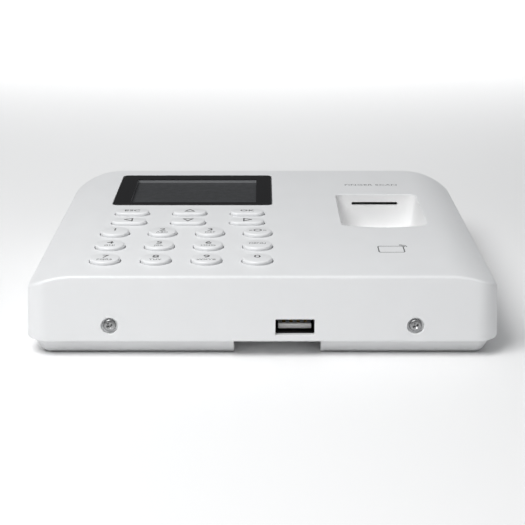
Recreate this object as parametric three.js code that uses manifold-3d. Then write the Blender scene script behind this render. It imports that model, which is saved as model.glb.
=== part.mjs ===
// Fingerprint scanner terminal, lying on its back: millimetres, +Z out of the face, -Y towards the
// edge with the data socket. The origin is at the middle of the footprint, on the surface below.
import * as THREE from "three";
import { mergeVertices } from "three/addons/utils/BufferGeometryUtils.js";
import Module from "manifold-3d";

const wasm = await Module();
wasm.setup();

// ---- driving dimensions -------------------------------------------------------------------
const WIDTH = 157.2; // front cover, at its lower edge
const DEPTH = 149.5;
const HEIGHT = 28; // from the wall to the face
const PLINTH_HEIGHT = 5.6; // the front cover's lower edge above the wall
const WALL = 2.2; // moulded wall of the front cover
const GAP = 0.3; // clearance between pieces that meet
const DRAFT = 0.052; // how far the side walls lean in per unit of height
const FRONT_CORNER = 8; // plan radii of the front cover
const BACK_CORNER = 20;
const SIDE_ROLL_WIDTH = 16; // the face rolls down towards the left and right edges
const SIDE_ROLL_DROP = 4.2;

const PLINTH_INSET_TOP = 2; // wall plate, measured in from the front cover's lower edge
const PLINTH_INSET_BOTTOM = 5.2;
const PLINTH_WALL = 2.2;
const PLATE_FLOOR = 2;
const NOTCH_LEFT = -9.6; // cable notch in the plinth's front
const NOTCH_RIGHT = 19.4;
const CABLE_ROOM = 14; // the wall plate's opening behind the connector well

const LENS = { x: -27.4, y: 40.4, width: 62, depth: 48.6, thickness: 1.2, corner: 2 };
const VIEW = { x: -27.25, y: 38.95, width: 49.3, depth: 37.1 };
const VIEW_OPENING = 1.5; // the cover's opening behind the lens, past the view on each side
const PANEL = { glass: 1, plate: 2.5, thickness: 1.1 }; // reach past the view, and the plate's thickness
const LCD_FRAME = { wall: 0.6, height: 4 };
const BACKLIGHT_THICKNESS = 1.2;

const KEY_RISE = 1.3; // key top above the face
const KEY_TRAVEL = 0.9;
const KEY_CLEARANCE = 0.35; // around a key in its hole
const KEY_FLANGE = 0.9; // how far the hidden flange reaches past the key
const FLANGE_THICKNESS = 1.2;
const MEMBRANE = { thickness: 1, side: 2.4, front: 1.6, back: 3, pill: 2 };
const DIGIT = { size: 10.2, corner: 5.05, x: -53.2, y: -23.7, pitchX: 17.15, pitchY: 16.45 };
const FUNCTION_KEY = { width: 12.8, depth: 6.8, corner: 3.3, x: -49.4, y: 3.2, pitchX: 21.8, pitchY: 12.8 };

const SCOOP = { x: 45.2, width: 32, near: -13.8, far: 32.9, depth: 15, lean: 1.9, corner: 2.5, wall: 2 };
const GLASS = { width: 18, length: 22, thickness: 2, place: 11, sink: 0.1 };
const SENSOR = { width: 24, length: 28, thickness: 5 };
const SLOT = { x: 45, width: 18.6, height: 1.3, below: 3.8 };

const USB = { x: 10.7, z: 10.6, width: 12.5, height: 5.12, wall: 0.3, length: 13 };
const USB_MARGIN = 0.2; // how far the front wall's opening clears the socket's mouth
const TONGUE = { width: 11.1, thickness: 1.84, below: 0.55, setBack: 1.9, root: 2 };
const USB_BOARD = { width: 24, setBack: 1.5 };
const FRONT_SCREW = { x: 50.4, z: 11.1, head: 4.2, headHeight: 1, shank: 2.4, length: 6 };
const SCREW_RECESS = { diameter: 5.6, depth: 1.2 };
const REAR_SCREW = { side: 11.5, front: 11.2, back: 15.2, head: 4.6, headHeight: 1.4, shank: 2.3,
  length: 11, recess: 0.4 };
const BOSS = { radius: 3.5, hole: 1.45, seat: 1.6 };
const EAR = { width: 9, thickness: 3, above: 4.5, clearance: 1.1 }; // takes a front screw
const HOOK = { x: 40, behind: 9, width: 9, thickness: 2, lip: 2.2, height: 1.4 }; // hangs on the rear cover
const WALL_HOLE = { x: 45, front: -20, back: 38, radius: 2.3 };

const REAR_FLOOR = 1.8; // thickness of the rear cover's plate
const WELL = { left: 8.6, right: 38.5, depth: 18, height: 15.2, wall: 1.4, behindSocket: 1.6 };
const BOARD_THICKNESS = 1.2;
const BOARD_LIFT = 0.6; // main board above the rear cover's plate
const JACK = { x: 17.5, width: 16, height: 11.5, length: 19 };
const JACK_MOUTH = { width: 11.8, height: 6.8, depth: 13, sill: 2.4 };
const POWER = { width: 9, height: 11, length: 14, mouth: 3.2, pin: 1, mouthDepth: 10, x: 33 };
const SPEAKER = { x: -54, y: -32, radius: 14, height: 5, cone: 11, rim: 2, vent: 1.2 };
const CELL = { x: -26, y: -14, radius: 10, height: 3.2, base: 0.8, rim: 1 };
const PLUNGER = { x: -30, y: 6, radius: 1, travel: 0.9, clearance: 0.4, reach: 1.6 };
const SWITCH = { size: 6, height: 4.2 };
const PROCESSOR = { x: -6, y: -8, size: 14, height: 1.4 };
const MAIN_BOARD = { left: -40, right: 24, back: 10, armBack: -16.5, clearance: 0.6 };
const CARD_COIL = { x: 44.7, y: -43.2, width: 36, depth: 30, band: 5, thickness: 1, corner: 3 };
const RIBBON_THICKNESS = 0.35;

// ---- heights worked out from the driving dimensions ----------------------------------------
const coverBottom = PLINTH_HEIGHT;
const faceUnder = HEIGHT - WALL;
const rearTop = coverBottom + REAR_FLOOR;
const plinthTop = PLINTH_HEIGHT - GAP;
const flangeTop = faceUnder - GAP;
const flangeBottom = flangeTop - FLANGE_THICKNESS;
const membraneTop = flangeBottom - KEY_TRAVEL - GAP;
const membraneBottom = membraneTop - MEMBRANE.thickness;
const keypadBoardTop = membraneBottom - GAP;
const boardBottom = rearTop + BOARD_LIFT;
const boardTop = boardBottom + BOARD_THICKNESS;
const frontFace = -DEPTH / 2;
const rampSlope = SCOOP.depth / (SCOOP.far - SCOOP.lean - SCOOP.near);
const rampAngle = Math.atan(rampSlope);

const rampHeight = (y) => HEIGHT - (y - SCOOP.near) * rampSlope;
const frontFaceAt = (z) => frontFace + (z - coverBottom) * DRAFT;
const usbFront = frontFaceAt(USB.z) + WALL + GAP;
const wellFront = usbFront + USB.length + WELL.behindSocket + WELL.wall;
const wellBack = wellFront + WELL.depth;

// ---- materials ------------------------------------------------------------------------------
const finish = (color, roughness = 0.5, metalness = 0) =>
  new THREE.MeshStandardMaterial({ color, roughness, metalness });
const whitePlastic = finish(0xe4e5e8, 0.42);
const plinthPlastic = finish(0xd6d8da, 0.5);
const keyPlastic = finish(0xf0f1f2, 0.35);
const blackGlass = finish(0x141416, 0.08);
const darkScreen = finish(0x46474a, 0.2);
const greenBoard = finish(0x1d5a38, 0.55);
const blackPlastic = finish(0x1b1b1c, 0.5);
const steel = finish(0xb4b6b8, 0.3, 1);
const greyRubber = finish(0x8d9093, 0.8);
const ribbonFilm = finish(0xc98a3a, 0.5);
const tonguePlastic = finish(0xd2d1cc, 0.5);

// ---- shapes ---------------------------------------------------------------------------------
function solid(geometry) {
  const bare = geometry.index ? geometry.toNonIndexed() : geometry.clone();
  bare.deleteAttribute("normal");
  bare.deleteAttribute("uv");
  const merged = mergeVertices(bare, 1e-4);
  return new wasm.Manifold(
    new wasm.Mesh({
      numProp: 3,
      vertProperties: new Float32Array(merged.attributes.position.array),
      triVerts: new Uint32Array(merged.index.array),
    }),
  );
}

function geometryOf(shape) {
  const mesh = shape.getMesh();
  const geometry = new THREE.BufferGeometry();
  geometry.setAttribute("position", new THREE.BufferAttribute(mesh.vertProperties, 3));
  geometry.setIndex(new THREE.BufferAttribute(mesh.triVerts, 1));
  return geometry;
}

const cut = (body, ...tools) => tools.reduce((left, tool) => left.subtract(tool), body);
const join = (body, ...more) => more.reduce((whole, piece) => whole.add(piece), body);

function box(x0, x1, y0, y1, z0, z1) {
  const geometry = new THREE.BoxGeometry(x1 - x0, y1 - y0, z1 - z0);
  return solid(geometry.translate((x0 + x1) / 2, (y0 + y1) / 2, (z0 + z1) / 2));
}

const block = (x, y, z0, width, depth, height) =>
  box(x - width / 2, x + width / 2, y - depth / 2, y + depth / 2, z0, z0 + height);

// An upright round bar.
function bar(x, y, z0, z1, radius, sides = 16) {
  const geometry = new THREE.CylinderGeometry(radius, radius, z1 - z0, sides);
  return solid(geometry.rotateX(Math.PI / 2).translate(x, y, (z0 + z1) / 2));
}

// A round bar along Y.
const barAlong = (x, z, y0, y1, radius, sides = 20) =>
  solid(new THREE.CylinderGeometry(radius, radius, y1 - y0, sides).translate(x, (y0 + y1) / 2, z));

// Points of a rectangle with round corners, anticlockwise from the front right corner.
function roundedOutline(x, y, width, depth, frontRadius, backRadius = frontRadius, steps = 6) {
  const corners = [
    [1, -1, frontRadius, -Math.PI / 2],
    [1, 1, backRadius, 0],
    [-1, 1, backRadius, Math.PI / 2],
    [-1, -1, frontRadius, Math.PI],
  ];
  const points = [];
  for (const [sideX, sideY, radius, start] of corners) {
    const centreX = x + sideX * (width / 2 - radius);
    const centreY = y + sideY * (depth / 2 - radius);
    for (let i = 0; i <= steps; i++) {
      const angle = start + (i / steps) * (Math.PI / 2);
      points.push(new THREE.Vector2(centreX + radius * Math.cos(angle), centreY + radius * Math.sin(angle)));
    }
  }
  return points;
}

// A closed body through rings of equal point counts, each at its own height, lowest first.
function loft(rings) {
  const count = rings[0].points.length;
  const position = rings.flatMap(({ points, z }) => points.flatMap((p) => [p.x, p.y, z]));
  const index = [];
  for (let r = 0; r + 1 < rings.length; r++)
    for (let i = 0; i < count; i++) {
      const a = r * count + i;
      const b = r * count + ((i + 1) % count);
      index.push(a, b, b + count, a, b + count, a + count);
    }
  const last = (rings.length - 1) * count;
  for (const [a, b, c] of THREE.ShapeUtils.triangulateShape(rings[0].points, [])) {
    index.push(a, c, b);
    index.push(last + a, last + b, last + c);
  }
  const geometry = new THREE.BufferGeometry();
  geometry.setAttribute("position", new THREE.Float32BufferAttribute(position, 3));
  geometry.setIndex(index);
  return solid(geometry);
}

const slab = (points, z0, z1) => loft([{ points, z: z0 }, { points, z: z1 }]);

// A prism along X whose outline is given as [y, z] pairs.
function prismAlongX(x0, x1, outline) {
  const shape = new THREE.Shape(outline.map(([y, z]) => new THREE.Vector2(y, z)));
  const geometry = new THREE.ExtrudeGeometry(shape, { depth: x1 - x0, bevelEnabled: false });
  const turn = new THREE.Matrix4().makeBasis(
    new THREE.Vector3(0, 1, 0),
    new THREE.Vector3(0, 0, 1),
    new THREE.Vector3(1, 0, 0),
  );
  return solid(geometry.applyMatrix4(turn).translate(x0, 0, 0));
}

// The front cover's outline, drawn in by inset.
const coverOutline = (inset) =>
  roundedOutline(0, 0, WIDTH - 2 * inset, DEPTH - 2 * inset, FRONT_CORNER - Math.min(inset, FRONT_CORNER - 1),
    BACK_CORNER - inset, 8);

// Everything under the rolled face, lowered by sink: flat in the middle, an arc down to each side.
function underFace(sink) {
  const edge = WIDTH / 2 - (HEIGHT - coverBottom) * DRAFT;
  const start = edge - SIDE_ROLL_WIDTH;
  const radius = (SIDE_ROLL_WIDTH ** 2 + SIDE_ROLL_DROP ** 2) / (2 * SIDE_ROLL_DROP);
  const top = HEIGHT - sink;
  const sweep = Math.asin((SIDE_ROLL_WIDTH + 3) / radius);
  const side = [];
  const steps = 8;
  for (let i = 0; i <= steps; i++) {
    const angle = (i / steps) * sweep;
    side.push([start + radius * Math.sin(angle), top - radius * (1 - Math.cos(angle))]);
  }
  const last = side[side.length - 1];
  const right = [...side, [last[0], -5]];
  const outline = [...right.map(([x, z]) => [-x, z]).reverse(), ...right];
  const shape = new THREE.Shape(outline.reverse().map(([x, z]) => new THREE.Vector2(x, z)));
  const long = DEPTH + 20;
  const geometry = new THREE.ExtrudeGeometry(shape, { depth: long, bevelEnabled: false });
  return solid(geometry.rotateX(Math.PI / 2).translate(0, long / 2, 0));
}

// The body inside the front cover's outer skin, drawn in by inset and lowered by sink.
function coverBody(inset, sink, z0) {
  const rise = HEIGHT + 2 - coverBottom;
  return loft([
    { points: coverOutline(inset - DRAFT * (coverBottom - z0)), z: z0 },
    { points: coverOutline(inset + DRAFT * rise), z: HEIGHT + 2 },
  ]).intersect(underFace(sink));
}

// ---- keys -----------------------------------------------------------------------------------
const digitColumns = [0, 1, 2, 3].map((i) => DIGIT.x + i * DIGIT.pitchX);
const digitRows = [0, 1, 2].map((i) => DIGIT.y - i * DIGIT.pitchY);
const functionColumns = [0, 1, 2].map((i) => FUNCTION_KEY.x + i * FUNCTION_KEY.pitchX);
const functionRows = [0, 1].map((i) => FUNCTION_KEY.y - i * FUNCTION_KEY.pitchY);
const digitNames = [
  ["1", "2", "3", "back"],
  ["4", "5", "6", "menu"],
  ["7", "8", "9", "0"],
];
const functionNames = [
  ["esc", "up", "ok"],
  ["left", "down", "right"],
];
const keys = [];
functionNames.forEach((row, r) =>
  row.forEach((name, c) =>
    keys.push({ name, x: functionColumns[c], y: functionRows[r], width: FUNCTION_KEY.width,
      depth: FUNCTION_KEY.depth, corner: FUNCTION_KEY.corner }),
  ),
);
digitNames.forEach((row, r) =>
  row.forEach((name, c) =>
    keys.push({ name, x: digitColumns[c], y: digitRows[r], width: DIGIT.size, depth: DIGIT.size,
      corner: DIGIT.corner }),
  ),
);

function keyOutline(key, grow) {
  const corner = key.corner + grow;
  return roundedOutline(key.x, key.y, key.width + 2 * grow, key.depth + 2 * grow, corner, corner, 5);
}

const keyCap = (key) =>
  join(
    slab(keyOutline(key, 0), flangeTop - 0.1, HEIGHT + KEY_RISE),
    slab(keyOutline(key, KEY_FLANGE), flangeBottom, flangeTop),
  );

const keypadLeft = digitColumns[0] - DIGIT.size / 2 - MEMBRANE.side;
const keypadRight = digitColumns[3] + DIGIT.size / 2 + MEMBRANE.side;
const keypadFront = digitRows[2] - DIGIT.size / 2 - MEMBRANE.front;
const keypadBack = functionRows[0] + FUNCTION_KEY.depth / 2 + MEMBRANE.back;

// ---- front cover ----------------------------------------------------------------------------
function scoopCavity() {
  const reach = 3;
  const over = reach * rampSlope;
  const foot = SCOOP.far - SCOOP.lean;
  const wedge = prismAlongX(SCOOP.x - SCOOP.width / 2, SCOOP.x + SCOOP.width / 2, [
    [SCOOP.near - reach, HEIGHT + over],
    [foot, HEIGHT - SCOOP.depth],
    [SCOOP.far + (SCOOP.lean * over) / SCOOP.depth, HEIGHT + over],
  ]);
  const middle = (SCOOP.near + SCOOP.far) / 2;
  const plan = roundedOutline(SCOOP.x, middle - 2, SCOOP.width, SCOOP.far - SCOOP.near + 8, SCOOP.corner);
  return wedge.intersect(slab(plan, 0, HEIGHT + over));
}

function scoopShell() {
  const drop = SCOOP.wall / Math.cos(rampAngle);
  const start = SCOOP.near - 3;
  const foot = SCOOP.far - SCOOP.lean + SCOOP.wall;
  const half = SCOOP.width / 2 + SCOOP.wall;
  return prismAlongX(SCOOP.x - half, SCOOP.x + half, [
    [start, rampHeight(start) - drop],
    [foot, rampHeight(foot) - drop],
    [SCOOP.far + SCOOP.wall, HEIGHT - 1],
  ]);
}

// Turns a body built around the glass's middle, +Z out of the ramp, into its place on the ramp.
const onRamp = (body) => body.rotate([(-rampAngle * 180) / Math.PI, 0, 0])
  .translate([SCOOP.x, GLASS.place, rampHeight(GLASS.place)]);

const rearScrewX = WIDTH / 2 - REAR_SCREW.side;
const rearScrewPlaces = [
  [-rearScrewX, frontFace + REAR_SCREW.front],
  [rearScrewX, frontFace + REAR_SCREW.front],
  [-rearScrewX, DEPTH / 2 - REAR_SCREW.back],
  [rearScrewX, DEPTH / 2 - REAR_SCREW.back],
];
const frontScrewSides = [["left", -1], ["right", 1]];
const bossFoot = rearTop + BOSS.seat + GAP;
const rearShankBottom = coverBottom + REAR_SCREW.recess + REAR_SCREW.headHeight;

function frontCover() {
  const inside = coverBody(WALL, WALL, -1);
  let cover = coverBody(0, 0, coverBottom).subtract(inside);
  cover = join(cover, scoopShell().intersect(coverBody(0.5, 1, coverBottom)));
  for (const [x, y] of rearScrewPlaces)
    cover = cover.add(bar(x, y, bossFoot, faceUnder + 0.2, BOSS.radius));
  for (const [x, y] of rearScrewPlaces)
    cover = cover.subtract(bar(x, y, 0, rearShankBottom + REAR_SCREW.length + 1, BOSS.hole, 12));
  cover = cut(
    cover,
    scoopCavity(),
    onRamp(block(0, 0, -6, GLASS.width + 2 * GAP, GLASS.length + 2 * GAP, 8)),
    block(SLOT.x, SCOOP.far, HEIGHT - SLOT.below - SLOT.height / 2, SLOT.width, 4 * SCOOP.wall, SLOT.height),
    slab(roundedOutline(LENS.x, LENS.y, LENS.width + 2 * GAP, LENS.depth + 2 * GAP, LENS.corner + GAP),
      HEIGHT - LENS.thickness - 0.1, HEIGHT + 1),
    block(VIEW.x, VIEW.y, HEIGHT / 2, VIEW.width + 2 * VIEW_OPENING, VIEW.depth + 2 * VIEW_OPENING, HEIGHT),
    box(USB.x - USB.width / 2 - USB_MARGIN, USB.x + USB.width / 2 + USB_MARGIN, frontFace - 1, usbFront + 1,
      USB.z - USB.height / 2 - USB_MARGIN, USB.z + USB.height / 2 + USB_MARGIN),
  );
  for (const key of keys) cover = cover.subtract(slab(keyOutline(key, KEY_CLEARANCE), flangeTop, HEIGHT + 1));
  const seat = frontFaceAt(FRONT_SCREW.z) + SCREW_RECESS.depth;
  for (const [, side] of frontScrewSides) {
    const x = side * FRONT_SCREW.x;
    cover = cut(
      cover,
      barAlong(x, FRONT_SCREW.z, frontFace - 1, seat, SCREW_RECESS.diameter / 2),
      barAlong(x, FRONT_SCREW.z, frontFace - 1, frontFace + 6, FRONT_SCREW.shank / 2 + GAP, 12),
    );
  }
  return cover;
}

// ---- rear cover -----------------------------------------------------------------------------
const earFront = frontFaceAt(0) + WALL + EAR.clearance;
const hookY = DEPTH / 2 - HOOK.behind;
const jackFront = wellBack + WELL.wall / 2;
const jackBottom = boardTop + GAP;

function rearCover() {
  const outline = coverOutline(WALL + GAP + 0.1);
  let cover = slab(outline, coverBottom, rearTop);
  const wellTop = coverBottom + WELL.height;
  cover = cover.add(box(WELL.left - WELL.wall, WELL.right + WELL.wall, wellFront - WELL.wall,
    wellBack + WELL.wall, coverBottom, wellTop + WELL.wall));
  cover = cover.subtract(box(WELL.left, WELL.right, wellFront, wellBack, 0, wellTop));
  for (const [x, width, height] of [[JACK.x, JACK.width, JACK.height], [POWER.x, POWER.width, POWER.height]])
    cover = cover.subtract(block(x, wellBack + WELL.wall, jackBottom - GAP, width + 2 * GAP, 4 * WELL.wall,
      height + 2 * GAP));
  for (const [x, y] of rearScrewPlaces)
    cover = cover.add(bar(x, y, coverBottom + 0.5, rearTop + BOSS.seat, BOSS.radius + 0.5));
  for (const [x, y] of rearScrewPlaces)
    cover = cut(
      cover,
      bar(x, y, 0, rearShankBottom + GAP, REAR_SCREW.head / 2 + GAP),
      bar(x, y, 0, rearTop + 4, BOSS.hole, 12),
    );
  const earRoom = [EAR.width + 2 * GAP, 2 * (EAR.thickness + GAP)];
  const hookRoom = [HOOK.width + 2 * GAP, HOOK.thickness + 2 * HOOK.lip];
  for (const side of [-1, 1])
    cover = cut(
      cover,
      block(side * FRONT_SCREW.x, earFront, 0, ...earRoom, HEIGHT),
      block(side * HOOK.x, hookY, 0, ...hookRoom, HEIGHT),
    );
  cover = cover.subtract(bar(SPEAKER.x, SPEAKER.y, 0, HEIGHT, SPEAKER.vent, 8));
  for (let i = 0; i < 6; i++) {
    const angle = (i * Math.PI) / 3;
    const x = SPEAKER.x + (SPEAKER.radius / 2) * Math.cos(angle);
    const y = SPEAKER.y + (SPEAKER.radius / 2) * Math.sin(angle);
    cover = cover.subtract(bar(x, y, 0, HEIGHT, SPEAKER.vent, 8));
  }
  return cover.subtract(bar(PLUNGER.x, PLUNGER.y, 0, HEIGHT, PLUNGER.radius + PLUNGER.clearance, 12));
}

// ---- wall plate -----------------------------------------------------------------------------
function wallPlate() {
  const tray = loft([
    { points: coverOutline(PLINTH_INSET_BOTTOM), z: 0 },
    { points: coverOutline(PLINTH_INSET_TOP), z: plinthTop },
  ]);
  const hollow = slab(coverOutline(PLINTH_INSET_BOTTOM + PLINTH_WALL), PLATE_FLOOR, HEIGHT);
  let plate = tray.subtract(hollow);
  plate = cut(
    plate,
    box(NOTCH_LEFT, NOTCH_RIGHT, -DEPTH, wellFront + 1, -1, HEIGHT),
    box(NOTCH_LEFT, WELL.right + 2, wellFront - 1, wellBack + CABLE_ROOM, -1, HEIGHT),
  );
  for (const x of [-WALL_HOLE.x, WALL_HOLE.x])
    for (const y of [WALL_HOLE.front, WALL_HOLE.back])
      plate = plate.subtract(bar(x, y, -1, HEIGHT, WALL_HOLE.radius, 14));
  const earFoot = plinthTop - 1;
  const ears = frontScrewSides.map(([, side]) =>
    block(side * FRONT_SCREW.x, earFront + EAR.thickness / 2, earFoot, EAR.width, EAR.thickness,
      FRONT_SCREW.z + EAR.above - earFoot));
  plate = join(plate, ...ears);
  for (const [, side] of frontScrewSides)
    plate = plate.subtract(
      barAlong(side * FRONT_SCREW.x, FRONT_SCREW.z, -DEPTH, earFront + 8, FRONT_SCREW.shank / 2 + GAP, 12));
  const lipBottom = rearTop + GAP;
  const hookFoot = PLATE_FLOOR / 2;
  for (const side of [-1, 1]) {
    plate = join(
      plate,
      block(side * HOOK.x, hookY, hookFoot, HOOK.width, HOOK.thickness, lipBottom + 1 - hookFoot),
      box(side * HOOK.x - HOOK.width / 2, side * HOOK.x + HOOK.width / 2, hookY - HOOK.thickness / 4,
        hookY + HOOK.thickness / 2 + HOOK.lip, lipBottom, lipBottom + HOOK.height),
    );
  }
  return plate;
}

// ---- display --------------------------------------------------------------------------------
const lensBottom = HEIGHT - LENS.thickness;
const frameTop = faceUnder - GAP;
const panelWidth = VIEW.width + 2 * PANEL.plate;
const panelDepth = VIEW.depth + 2 * PANEL.plate;
const plateTop = frameTop - LCD_FRAME.wall - GAP;
const plateBottom = plateTop - PANEL.thickness;
const lightTop = plateBottom - GAP;

function lcdFrame() {
  const past = 2 * (LCD_FRAME.wall + GAP);
  const outer = block(VIEW.x, VIEW.y, frameTop - LCD_FRAME.height, panelWidth + past, panelDepth + past,
    LCD_FRAME.height);
  const room = block(VIEW.x, VIEW.y, 0, panelWidth + 2 * GAP, panelDepth + 2 * GAP, plateTop + GAP);
  const reach = 2 * (PANEL.glass + GAP);
  const sight = block(VIEW.x, VIEW.y, 0, VIEW.width + reach, VIEW.depth + reach, HEIGHT);
  return cut(outer, room, sight);
}

// The display: a plate held under the frame, and its glass, which stands up to the lens.
function lcdPanel() {
  const reach = 2 * PANEL.glass;
  const tall = lensBottom - GAP - plateBottom;
  return join(
    block(VIEW.x, VIEW.y, plateBottom, panelWidth, panelDepth, PANEL.thickness),
    block(VIEW.x, VIEW.y, plateBottom, VIEW.width + reach, VIEW.depth + reach, tall),
  );
}

// ---- sockets --------------------------------------------------------------------------------
function usbShell() {
  const outer = box(USB.x - USB.width / 2 - USB.wall, USB.x + USB.width / 2 + USB.wall, usbFront,
    usbFront + USB.length, USB.z - USB.height / 2 - USB.wall, USB.z + USB.height / 2 + USB.wall);
  const inner = box(USB.x - USB.width / 2, USB.x + USB.width / 2, usbFront - 1,
    usbFront + USB.length - USB.wall, USB.z - USB.height / 2, USB.z + USB.height / 2);
  return outer.subtract(inner);
}

function usbTongue() {
  const back = usbFront + USB.length - USB.wall - GAP;
  const bottom = USB.z - USB.height / 2 + TONGUE.below;
  const blade = box(USB.x - TONGUE.width / 2, USB.x + TONGUE.width / 2, usbFront + TONGUE.setBack, back,
    bottom, bottom + TONGUE.thickness);
  const root = box(USB.x - USB.width / 2 + GAP, USB.x + USB.width / 2 - GAP, back - TONGUE.root, back,
    USB.z - USB.height / 2 + GAP, USB.z + USB.height / 2 - GAP);
  return blade.add(root);
}

function usbBoard() {
  const bottom = USB.z - BOARD_THICKNESS / 2;
  const board = box(USB.x - USB_BOARD.width / 2, USB.x + USB_BOARD.width / 2, usbFront + USB_BOARD.setBack,
    wellFront - WELL.wall - GAP, bottom, bottom + BOARD_THICKNESS);
  const room = box(USB.x - USB.width / 2 - USB.wall - GAP, USB.x + USB.width / 2 + USB.wall + GAP,
    frontFace, usbFront + USB.length + GAP, 0, HEIGHT);
  return board.subtract(room);
}

function networkJack() {
  const y0 = jackFront;
  const body = box(JACK.x - JACK.width / 2, JACK.x + JACK.width / 2, y0, y0 + JACK.length, jackBottom,
    jackBottom + JACK.height);
  const mouthFoot = jackBottom + JACK_MOUTH.sill;
  const mouth = box(JACK.x - JACK_MOUTH.width / 2, JACK.x + JACK_MOUTH.width / 2, y0 - 1, y0 + JACK_MOUTH.depth,
    mouthFoot, mouthFoot + JACK_MOUTH.height);
  return body.subtract(mouth);
}

function dcJack() {
  const y0 = jackFront;
  const middle = jackBottom + POWER.height / 2;
  const body = box(POWER.x - POWER.width / 2, POWER.x + POWER.width / 2, y0, y0 + POWER.length, jackBottom,
    jackBottom + POWER.height);
  const mouth = barAlong(POWER.x, middle, y0 - 1, y0 + POWER.mouthDepth, POWER.mouth);
  const pin = barAlong(POWER.x, middle, y0 + 1, y0 + POWER.mouthDepth + 0.5, POWER.pin, 10);
  return body.subtract(mouth).add(pin);
}

// ---- inside ---------------------------------------------------------------------------------
function mainBoard() {
  const front = wellBack + WELL.wall + MAIN_BOARD.clearance;
  const board = join(
    box(MAIN_BOARD.left, MAIN_BOARD.right, front, MAIN_BOARD.back, boardBottom, boardTop),
    box(MAIN_BOARD.right - 1, WELL.right, front, MAIN_BOARD.armBack, boardBottom, boardTop),
  );
  return board.subtract(bar(PLUNGER.x, PLUNGER.y, 0, HEIGHT, PLUNGER.radius + PLUNGER.clearance, 12));
}

function keypadMembrane() {
  const sheet = box(keypadLeft, keypadRight, keypadFront, keypadBack, membraneBottom, membraneTop);
  const pills = keys.map((key) =>
    bar(key.x, key.y, membraneTop - 0.5, membraneTop + GAP / 2, MEMBRANE.pill, 8));
  return join(sheet, ...pills);
}

function speaker() {
  const z0 = rearTop + GAP;
  const profile = [
    [0, 1.5],
    [SPEAKER.cone - 4, 1.5],
    [SPEAKER.cone, 0.4],
    [SPEAKER.cone, 0],
    [SPEAKER.radius, 0],
    [SPEAKER.radius, SPEAKER.rim],
    [SPEAKER.cone - SPEAKER.rim, SPEAKER.height],
    [0, SPEAKER.height],
  ];
  const points = profile.map(([r, z]) => new THREE.Vector2(r, z));
  return solid(new THREE.LatheGeometry(points, 28).rotateX(Math.PI / 2).translate(SPEAKER.x, SPEAKER.y, z0));
}

const holderBottom = boardTop + GAP;

function cellHolder() {
  const rim = CELL.radius + GAP;
  const cup = bar(CELL.x, CELL.y, holderBottom, holderBottom + CELL.height, rim + CELL.rim, 28);
  return cup.subtract(bar(CELL.x, CELL.y, holderBottom + CELL.base, HEIGHT, rim, 28));
}

function cardCoil() {
  const top = faceUnder - GAP;
  const outer = roundedOutline(CARD_COIL.x, CARD_COIL.y, CARD_COIL.width, CARD_COIL.depth, CARD_COIL.corner);
  const inner = roundedOutline(CARD_COIL.x, CARD_COIL.y, CARD_COIL.width - 2 * CARD_COIL.band,
    CARD_COIL.depth - 2 * CARD_COIL.band, CARD_COIL.corner);
  return slab(outer, top - CARD_COIL.thickness, top).subtract(slab(inner, 0, HEIGHT));
}

// A flat cable of the given width about x, centred on a path of [y, z] points.
function ribbon(x, width, path) {
  const points = path.map(([y, z]) => new THREE.Vector2(y, z));
  const side = (sign) =>
    points.map((point, i) => {
      const before = points[Math.max(i - 1, 0)];
      const after = points[Math.min(i + 1, points.length - 1)];
      const along = after.clone().sub(before).normalize();
      const half = (sign * RIBBON_THICKNESS) / 2;
      return [point.x - along.y * half, point.y + along.x * half];
    });
  return prismAlongX(x - width / 2, x + width / 2, [...side(-1), ...side(1).reverse()]);
}

const switchBottom = boardTop + GAP;
const plungerTop = switchBottom + PLUNGER.reach;

function tamperSwitch() {
  const body = block(PLUNGER.x, PLUNGER.y, switchBottom, SWITCH.size, SWITCH.size, SWITCH.height);
  const roof = plungerTop + PLUNGER.travel + GAP;
  return body.subtract(bar(PLUNGER.x, PLUNGER.y, 0, roof, PLUNGER.radius + GAP, 12));
}

// ---- screws ---------------------------------------------------------------------------------
function frontScrew(side) {
  const x = side * FRONT_SCREW.x;
  const under = frontFaceAt(FRONT_SCREW.z) + SCREW_RECESS.depth - GAP;
  return join(
    barAlong(x, FRONT_SCREW.z, under - FRONT_SCREW.headHeight, under, FRONT_SCREW.head / 2),
    barAlong(x, FRONT_SCREW.z, under - 0.2, under + FRONT_SCREW.length, FRONT_SCREW.shank / 2, 12),
  );
}

function rearScrew(x, y) {
  return join(
    bar(x, y, rearShankBottom - REAR_SCREW.headHeight, rearShankBottom, REAR_SCREW.head / 2),
    bar(x, y, rearShankBottom - 0.2, rearShankBottom + REAR_SCREW.length, REAR_SCREW.shank / 2, 12),
  );
}

// ---- assembly -------------------------------------------------------------------------------
const terminal = new THREE.Group();

function place(name, shape, material) {
  const mesh = new THREE.Mesh(geometryOf(shape), material);
  mesh.name = name;
  terminal.add(mesh);
}

place("front_cover", frontCover(), whitePlastic);
place("rear_cover", rearCover(), whitePlastic);
place("wall_plate", wallPlate(), plinthPlastic);
const lensOutline = roundedOutline(LENS.x, LENS.y, LENS.width, LENS.depth, LENS.corner);
place("display_lens", slab(lensOutline, lensBottom, HEIGHT), blackGlass);
place("lcd_frame", lcdFrame(), steel);
place("lcd_panel", lcdPanel(), darkScreen);
const lightBottom = lightTop - BACKLIGHT_THICKNESS;
const backlight = block(VIEW.x, VIEW.y, lightBottom, panelWidth, panelDepth, BACKLIGHT_THICKNESS);
place("backlight", backlight, keyPlastic);
place("keypad_membrane", keypadMembrane(), greyRubber);
place("keypad_board", box(keypadLeft, keypadRight, keypadFront, keypadBack, keypadBoardTop - BOARD_THICKNESS,
  keypadBoardTop), greenBoard);
for (const key of keys) place("key_" + key.name, keyCap(key), keyPlastic);
const glassBottom = -GLASS.sink - GLASS.thickness;
const glass = block(0, 0, glassBottom, GLASS.width, GLASS.length, GLASS.thickness);
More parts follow.
